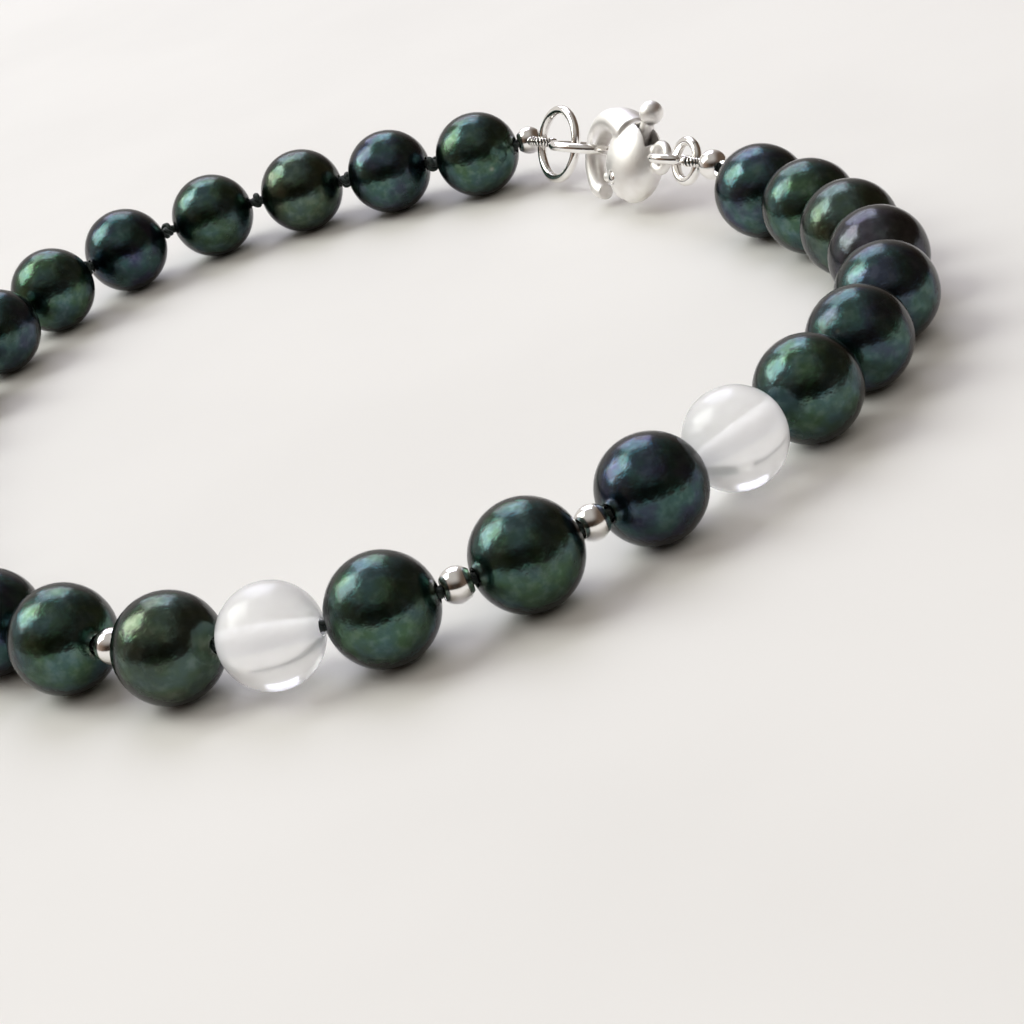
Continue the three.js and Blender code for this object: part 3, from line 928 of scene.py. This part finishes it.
# %% Findings' axes
lever_joint = frame["joints"][0]
lever_pivot = Vector(lever_joint["pos_m"]) / MM
chain_start = middle_of("silver_ball_1")
chain_along = (middle_of("silver_ball_5") - chain_start).normalized()
clasp_across = Vector(lever_joint["axis"]).normalized()
clasp_up = chain_along.cross(clasp_across).normalized()


def findings_place(middle, along=chain_along, up=clasp_up):
    """X runs along the chain, Z is up in the clasp's lean."""
    turn = Matrix((along, up.cross(along), up)).transposed()
    return Matrix.Translation(middle) @ turn.to_4x4()


print("chain", round((middle_of("silver_ball_5") - chain_start).length, 2), "mm from ball to ball")

# %% [markdown]
# ## Jump rings
# A jump ring is one turn of round wire cut from a coil, so it has a joint: two flat ends that nearly
# meet. It would be easier to leave the ring whole, but that hairline is what tells a jump ring from a
# soldered one.

# %% Jump rings
HOOK_RING_DIAMETER = 5
TAIL_RING_DIAMETER = 3
RING_WIRE = 0.6
RING_STEPS = 96
RING_SIDES = 20
RING_CUT = math.radians(1.1)
RINGS = [
    {"node": "jump_ring_1", "diameter": HOOK_RING_DIAMETER, "upright": True, "cut_at": 2.2},
    {"node": "jump_ring_2", "diameter": HOOK_RING_DIAMETER, "upright": False, "cut_at": 1.1},
    {"node": "jump_ring_3", "diameter": TAIL_RING_DIAMETER, "upright": False, "cut_at": 4.4},
    {"node": "jump_ring_4", "diameter": TAIL_RING_DIAMETER, "upright": True, "cut_at": 0.9},
]


def make_ring(node, diameter, upright, cut_at):
    radius = (diameter - RING_WIRE) / 2
    other = clasp_up if upright else clasp_across
    middle = middle_of(node)
    line = []
    for i in range(RING_STEPS + 1):
        angle = cut_at + RING_CUT / 2 + (2 * math.pi - RING_CUT) * i / RING_STEPS
        line.append(middle + chain_along * (radius * math.cos(angle)) + other * (radius * math.sin(angle)))
    mesh = make_mesh(node + "_drawn", wire(line, RING_WIRE / 2, RING_SIDES), [drawn_silver])
    return make_piece(mesh, node)


for ring in RINGS:
    make_ring(**ring)
print("jump rings:", len(RINGS))

# %% [markdown]
# ## Wire guards
# Where silk would rub on a ring, a stringer threads it through a short tube coiled from very fine wire
# and bends the tube into a loop. The coil is made as the real one is: a fine wire wound tightly round the
# drop-shaped line of the loop. Both ends go back to the silver ball. The silk comes out of the ball's
# hole, runs through the tube and goes back into the hole, so it gets a loop of its own inside each guard.

# %% Wire guards
GUARD_WIRE = 0.6
GUARD_LENGTH = 1.2
GUARD_BEND_RADIUS = 0.75
COIL_WIRE = 0.13
COIL_PITCH = 0.15
COIL_STEPS_PER_TURN = 14
COIL_SIDES = 6
CORE_DIAMETER = 0.3
CORE_STEP = 0.08
CORE_SIDES = 10
GUARDS = {"wire_guard_1": 1, "wire_guard_2": -1}
# The loop's line from one end to the other: shares of the length up to the bend, and of the bend's radius
DROP = [(0.0, -0.2), (0.5, -0.8), (1.0, -1.0)]
# A point beside the tip: shares of the bend's radius past the bend's middle and out to the side
BESIDE_TIP = (0.75, -0.68)
GUARD_STEPS = 12


def guard_line():
    bend = GUARD_LENGTH - GUARD_BEND_RADIUS
    lower = [Vector((along * bend, out * GUARD_BEND_RADIUS, 0)) for along, out in DROP]
    turn = Vector((bend + BESIDE_TIP[0] * GUARD_BEND_RADIUS, BESIDE_TIP[1] * GUARD_BEND_RADIUS, 0))
    tip = Vector((GUARD_LENGTH, 0, 0))
    upper = [Vector((point.x, -point.y, 0)) for point in reversed(lower + [turn])]
    return line_through(lower + [turn, tip] + upper, GUARD_STEPS)


def guard_place(node, way):
    ball = middle_of("silver_ball_1" if way > 0 else "silver_ball_5")
    reach = (middle_of(node) - ball).dot(chain_along) - way * GUARD_LENGTH / 2
    return findings_place(ball + chain_along * reach, chain_along * way)


def make_guard(node, way):
    low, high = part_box(node)
    place = guard_place(node, way)
    line = evenly(guard_line(), COIL_PITCH / COIL_STEPS_PER_TURN)
    coil = wound(line, (GUARD_WIRE - COIL_WIRE) / 2, COIL_PITCH)
    form = placed(wire(coil, COIL_WIRE / 2, COIL_SIDES), place)
    mesh = make_mesh(node + "_coiled", form, [drawn_silver])
    print(node, len(mesh.polygons), "faces, its node is", [round(x / MM, 1) for x in high - low], "mm")
    return make_piece(mesh, node)


def make_end_loop(node, way):
    """The silk from the ball's hole through the guard's tube and back into the hole."""
    mouth = hole_ends(beads[0])[0] if way > 0 else hole_ends(beads[-1])[1]
    place = guard_place(node, way)
    line = [mouth, *(place @ point for point in guard_line()), mouth]
    form = wire(evenly(line, CORE_STEP), CORE_DIAMETER / 2, CORE_SIDES)
    mesh = make_mesh(node + "_silk", form, [dark_silk])
    return make_piece(mesh, "silk_thread")


for node, way in GUARDS.items():
    make_guard(node, way)
    make_end_loop(node, way)

# %% [markdown]
# ## The clasp's body
# A lobster clasp is cast in one piece: a claw that curves round from a swollen body, and a tail eye
# behind. Parts that flow into each other are awkward to join by hand. Here the claw, the body and the eye
# are made as plain overlapping forms, a voxel remesh melts them into one skin, and a smoothing rounds the
# creases as tumbling does. The slot and the rivet's hole are cut afterwards with booleans, and a second,
# finer remesh softens their edges.
#
# Blender's voxels may not be smaller than a tenth of a millimetre in a scene in metres, so the clasp is
# melted at a thousand times its size, as if millimetres were metres, and shrunk when it becomes a piece.

# %% Clasp sizes
CLASP_REACH = 7.8
CLASP_HEIGHT = 5.6
CLASP_THICKNESS = 3
HOOK_WIRE = 1.24
TAIL_WIRE = 0.6
TAIL_EYE_DIAMETER = 0.96
LEVER_THICKNESS = 0.84
LEVER_DEPTH = 0.8
LEVER_RANGE = math.radians(14)
KNOB_DIAMETER = 1.5
HUB_DIAMETER = 1.5
RIVET_DIAMETER = 0.7
LEVER_PLAY = 0.13
HUB_PLAY = 0.26
RIVET_PLAY = 0.06
# Shares of the reach and the height, and for the claw also of the hook's wire and of the thickness
CLAW = [
    (0.25, -0.47, 0.72, 0.32),
    (0.11, -0.43, 0.92, 0.4),
    (0.015, -0.23, 1.0, 0.45),
    (0.0, 0.0, 1.0, 0.48),
    (0.06, 0.2, 1.08, 0.56),
    (0.2, 0.32, 1.26, 0.7),
    (0.4, 0.33, 1.5, 0.85),
    (0.6, 0.22, 1.75, 0.9),
]
BODY_MIDDLE = (0.61, -0.08)
BODY_LONG_SHARE = 0.61
BODY_HIGH_SHARE = 0.92
PIVOT = (0.54, -0.27)
GATE_END = (0.212, -0.285)
KNOB = (0.8, 0.47)


def in_clasp(shares):
    return Vector((shares[0] * CLASP_REACH, 0, shares[1] * CLASP_HEIGHT))


hook_middle = lever_pivot - chain_along * in_clasp(PIVOT).x - clasp_up * in_clasp(PIVOT).z
clasp_place = findings_place(hook_middle)

# %% Plain forms for casting
ALONG = Vector((1, 0, 0))
ACROSS = Vector((0, 1, 0))
CLAW_STEPS = 8
CLAW_SIDES = 32
EYE_STEPS = 48
EYE_SIDES = 24


def oval(middle, along, half_across, half_high, count):
    high = along.cross(ACROSS).normalized()
    angles = [2 * math.pi * i / count for i in range(count)]
    return [middle + ACROSS * (half_across * math.cos(a)) + high * (half_high * math.sin(a)) for a in angles]


def egg(middle, half_long, half_across, half_high, sides=48):
    """An egg from ovals that shrink to its two ends along X."""
    rings = []
    for i in range(1, sides // 2):
        angle = math.pi * i / (sides // 2)
        place = middle - Vector((half_long * math.cos(angle), 0, 0))
        width = math.sin(angle)
        rings.append(oval(place, ALONG, half_across * width, half_high * width, sides))
    return skin(rings)


def bar(shares, diameter, length, sides=40):
    """A round bar through the clasp's thickness."""
    middle = in_clasp(shares)
    ends = [middle - ACROSS * length / 2, middle + ACROSS * length / 2]
    return skin([circle(end, UP, ALONG, diameter / 2, sides) for end in ends])


def claw():
    line = line_through([in_clasp(row) for row in CLAW], CLAW_STEPS)
    sizes = line_through([Vector((row[2], row[3], 0)) for row in CLAW], CLAW_STEPS)
    rings = []
    for i, (point, size) in enumerate(zip(line, sizes)):
        along = (line[min(i + 1, len(line) - 1)] - line[max(i - 1, 0)]).normalized()
        half_across, half_high = size.y * CLASP_THICKNESS / 2, size.x * HOOK_WIRE / 2
        rings.append(oval(point, along, half_across, half_high, CLAW_SIDES))
    return skin(rings)


def tail_eye():
    radius = (TAIL_EYE_DIAMETER + TAIL_WIRE) / 2
    line = circle(ALONG * CLASP_REACH, ALONG, UP, radius, EYE_STEPS)
    return wire(line, TAIL_WIRE / 2, EYE_SIDES, closed=True)


# %% Melting and cutting


def workpiece(name, form):
    """A form as an object at a thousand times its size, to be worked on and thrown away."""
    points, faces = form
    mesh = bpy.data.meshes.new(name)
    mesh.from_pydata(points, [], faces)
    made = bpy.data.objects.new(name, mesh)
    bpy.context.scene.collection.objects.link(made)
    return made


def apply_modifiers(made):
    graph = bpy.context.evaluated_depsgraph_get()
    mesh = bpy.data.meshes.new_from_object(made.evaluated_get(graph))
    made.modifiers.clear()
    made.data = mesh


def melt(made, voxel, smoothing):
    remesh = made.modifiers.new("melt", "REMESH")
    remesh.mode = "VOXEL"
    remesh.voxel_size = voxel
    smooth = made.modifiers.new("tumble", "SMOOTH")
    smooth.factor = 0.5
    smooth.iterations = smoothing
    apply_modifiers(made)


def cut(made, form):
    tool = workpiece("cutter", form)
    boolean = made.modifiers.new("cut", "BOOLEAN")
    boolean.operation = "DIFFERENCE"
    boolean.solver = "EXACT"
    boolean.object = tool
    apply_modifiers(made)
    bpy.data.objects.remove(tool)


def finished(made, name, materials):
    """The worked form at its real size and place, as a mesh."""
    mesh = made.data.copy()
    bpy.data.objects.remove(made)
    mesh.name = name
    mesh.transform(Matrix.Scale(MM, 4) @ clasp_place)
    mesh.shade_smooth()
    mesh.materials.clear()
    for material in materials:
        mesh.materials.append(material)
    return mesh


# %% The slot
# The lever swings in a slot that runs from under the gate up past the knob. Its outline follows the
# lever's two arms at both ends of the swing, with a little play all round.
SLOT_PLAY = 0.18
SLOT_REACH_SHARE = 1.6
GATE_ROOM_SHARE = 1.1


def slot_outline():
    pivot = in_clasp(PIVOT)
    arm, gate = in_clasp(KNOB) - pivot, in_clasp(GATE_END) - pivot
    half = LEVER_DEPTH / 2 + SLOT_PLAY
    reach = SLOT_REACH_SHARE * arm.length
    arm_angle = math.atan2(arm.z, arm.x)
    gate_angle = math.atan2(gate.z, gate.x) - LEVER_RANGE

    def beside(angle, distance, offset):
        ray = Vector((math.cos(angle), 0, math.sin(angle)))
        out = Vector((-math.sin(angle), 0, math.cos(angle)))
        return pivot + ray * distance + out * offset

    floor = pivot.z - CLASP_HEIGHT / 2
    gate_edge = beside(gate_angle, GATE_ROOM_SHARE * gate.length, -half)
    return [
        Vector((gate_edge.x, 0, floor)),
        gate_edge,
        beside(gate_angle, half, -half),
        beside(arm_angle, half, half),
        beside(arm_angle, reach, half),
        beside(arm_angle - LEVER_RANGE, reach, -half),
        beside(arm_angle - LEVER_RANGE, 0, -half),
        Vector((pivot.x + half, 0, floor)),
    ]


def slab(outline, thickness):
    """A plate to cut with. Its faces have to look outwards, or the boolean takes nothing away."""
    sides = [[point + ACROSS * (way * thickness / 2) for point in outline] for way in (-1, 1)]
    return skin(sides)


# %% Clasp body
BODY_VOXEL = 0.075
BODY_SMOOTHING = 10
EDGE_VOXEL = 0.055
EDGE_SMOOTHING = 3


def make_clasp_body():
    half_long = BODY_LONG_SHARE * CLASP_REACH / 2
    half_high = BODY_HIGH_SHARE * CLASP_HEIGHT / 2
    body = egg(in_clasp(BODY_MIDDLE), half_long, CLASP_THICKNESS / 2, half_high)
    made = workpiece("casting", together([claw(), body, tail_eye()]))
    melt(made, BODY_VOXEL, BODY_SMOOTHING)
    slot_width = LEVER_THICKNESS + 2 * LEVER_PLAY
    cut(made, slab(slot_outline(), slot_width))
    cut(made, bar(PIVOT, HUB_DIAMETER + 2 * HUB_PLAY, slot_width))
    cut(made, bar(PIVOT, RIVET_DIAMETER + 2 * RIVET_PLAY, 2 * CLASP_THICKNESS))
    melt(made, EDGE_VOXEL, EDGE_SMOOTHING)
    mesh = finished(made, "clasp_body_cast", [cast_silver])
    print("clasp body:", len(mesh.polygons), "faces")
    return make_piece(mesh, "clasp_body")


make_clasp_body()

# %% [markdown]
# ## Lever and rivet
# The lever is one small casting too: a hub on the rivet, a gate that closes the hook, and an arm up to
# the knob that a thumb pulls. The rivet is a plain pin whose ends were hammered over, so it has two low
# domes.

# %% Lever
LEVER_VOXEL = 0.045
LEVER_SMOOTHING = 6
ARM_SIDES = 28
KNOB_SIDES = 32
ARM_TIP_SHARE = 0.7
ARM_TAPER_SHARE = 0.3


def lever_arm(start, end):
    along = (end - start).normalized()
    half = LEVER_DEPTH / 2
    rows = [(start, 1), (end - along * (ARM_TAPER_SHARE * half), 1), (end, ARM_TIP_SHARE)]
    return skin([oval(p, along, share * LEVER_THICKNESS / 2, share * half, ARM_SIDES) for p, share in rows])


def make_clasp_lever():
    pivot, knob = in_clasp(PIVOT), in_clasp(KNOB)
    half_knob = KNOB_DIAMETER / 2
    forms = [
        bar(PIVOT, HUB_DIAMETER, LEVER_THICKNESS),
        lever_arm(pivot, in_clasp(GATE_END)),
        lever_arm(pivot, knob),
        egg(knob, half_knob, half_knob, half_knob, KNOB_SIDES),
    ]
    made = workpiece("lever_casting", together(forms))
    melt(made, LEVER_VOXEL, LEVER_SMOOTHING)
    cut(made, bar(PIVOT, RIVET_DIAMETER + 2 * RIVET_PLAY, 2 * CLASP_THICKNESS))
    mesh = finished(made, "clasp_lever_cast", [cast_silver])
    mesh.set_sharp_from_angle(angle=SHARP_ANGLE)
    print("lever:", len(mesh.polygons), "faces")
    return make_piece(mesh, "clasp_lever", body="lever")


make_clasp_lever()

# %% Rivet
RIVET_LENGTH_SHARE = 0.9
RIVET_DOME = 0.1
RIVET_DOME_STEPS = 6
RIVET_SIDES = 36


def make_rivet():
    half = RIVET_LENGTH_SHARE * CLASP_THICKNESS / 2
    radius = RIVET_DIAMETER / 2
    steps = []
    for i in range(1, RIVET_DOME_STEPS + 1):
        angle = math.pi / 2 * i / RIVET_DOME_STEPS
        steps.append((radius * math.sin(angle), half + RIVET_DOME * (math.cos(angle) - 1)))
    profile = [(out, -place) for out, place in steps] + [(out, place) for out, place in reversed(steps)]
    rings = [circle(in_clasp(PIVOT) + ACROSS * place, UP, ALONG, out, RIVET_SIDES) for out, place in profile]
    mesh = make_mesh("clasp_rivet_turned", placed(skin(rings), clasp_place), [drawn_silver])
    return make_piece(mesh, "clasp_rivet")


make_rivet()

# %% [markdown]
# ## Table and light
# The table is a plain pale surface. The light comes from two tall window panes behind the bracelet and to
# its left, which is where the two soft patches on every pearl come from. A third, larger light in front
# lightens the shadows. It stands for light from all over the room, so it has no shape that a glossy
# surface could show, and it is hidden from reflections.
#
# A world that changes with direction stands for the room. The wall behind the camera is dark, and that
# keeps the pearls dark. The walls turn brown and then bright towards the far side, and that fills the
# stones. The ceiling is a middle grey, and the right side is shaded.

# %% Table
TABLE_SIDE = 3000
TABLE_WHITE = (0.86, 0.85, 0.83, 1)
TABLE_SHADE = (0.83, 0.82, 0.80, 1)


def table_material():
    material, tree, shader, place = new_material("pale_table")
    clouds = place_effect(tree, soft_clouds, place, Size=30, Low=0.3, High=0.7)["Mask"]
    colour = mix_colours(tree, clouds, TABLE_WHITE, TABLE_SHADE)
    fill(tree, shader, {"Base Color": colour, "Roughness": 0.9, "Specular IOR Level": 0.15})
    return material


half_table = TABLE_SIDE / 2
corners = [Vector((x * half_table, y * half_table, 0)) for x, y in ((-1, -1), (1, -1), (1, 1), (-1, 1))]
table_mesh = make_mesh("table", (corners, [(0, 1, 2, 3)]), [table_material()])
table = bpy.data.objects.new("table", table_mesh)
bpy.context.scene.collection.objects.link(table)
table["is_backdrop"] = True

# %% Windows
LIGHT_DISTANCE = 1000
LIGHTS = [
    {"name": "pane_left", "towards": (-0.64, 0.30, 0.70), "size": (590, 700), "power": 5.8,
     "colour": (0.97, 1.0, 0.95), "mirrored": True},
    {"name": "pane_back", "towards": (0.0, 0.71, 0.70), "size": (590, 700), "power": 3.8,
     "colour": (0.82, 0.83, 1.0), "mirrored": True},
    {"name": "front_fill", "towards": (0.30, -0.50, 0.81), "size": (1200, 900), "power": 2.4,
     "colour": (1.0, 0.95, 0.87), "mirrored": False},
]


def make_light(name, towards, size, power, colour, mirrored):
    light = bpy.data.lights.new(name, "AREA")
    light.shape = "RECTANGLE"
    light.size = size[0] * MM
    light.size_y = size[1] * MM
    light.energy = power
    light.color = colour
    lamp = bpy.data.objects.new(name, light)
    way = Vector(towards).normalized()
    lamp.location = way * LIGHT_DISTANCE * MM
    lamp.rotation_euler = way.to_track_quat("Z", "Y").to_euler()
    lamp.visible_glossy = mirrored
    bpy.context.scene.collection.objects.link(lamp)


for values in LIGHTS:
    make_light(**values)

# %% The room
DARK_ROOM = (0.030, 0.020, 0.014, 1)
BROWN_ROOM = (0.22, 0.15, 0.11, 1)
BRIGHT_ROOM = (0.68, 0.65, 0.62, 1)
CEILING = (0.46, 0.44, 0.42, 1)
SHADED_SIDE = (0.11, 0.078, 0.058, 1)
# Each colour takes over from those before it as the way's part along its axis goes from start to end
ROOM_COLOURS = [
    {"axis": "Y", "start": -0.9, "end": -0.2, "colour": BROWN_ROOM},
    {"axis": "Y", "start": -0.3, "end": 0.75, "colour": BRIGHT_ROOM},
    {"axis": "Z", "start": 0.4, "end": 0.92, "colour": CEILING},
    {"axis": "X", "start": 0.06, "end": 0.75, "colour": SHADED_SIDE},
]


def make_room():
    world = bpy.data.worlds.new("room")
    world.use_nodes = True
    tree = world.node_tree
    way = add_node(tree, "ShaderNodeTexCoord").outputs["Generated"]
    parts = add_node(tree, "ShaderNodeSeparateXYZ", {"Vector": way}).outputs
    around = DARK_ROOM
    for area in ROOM_COLOURS:
        share = smooth_ramp(tree, parts[area["axis"]], area["start"], area["end"])
        around = mix_colours(tree, share, around, area["colour"])
    tree.links.new(around, tree.nodes["Background"].inputs["Color"])
    bpy.context.scene.world = world


make_room()
bpy.context.scene.view_settings.view_transform = "Standard"

# %% [markdown]
# ## The plain and the dressed box
# The dressed bracelet has to fill the same box as the plain model. Both boxes are printed, so that
# they can be compared.

# %% Sizes and finish
low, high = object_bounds()
boxes = {"cad": [list(cad_low), list(cad_high)], "visual": [list(low), list(high)]}
for name, corner_pair in boxes.items():
    print(name, [[round(x / MM, 2) for x in corner] for corner in corner_pair])
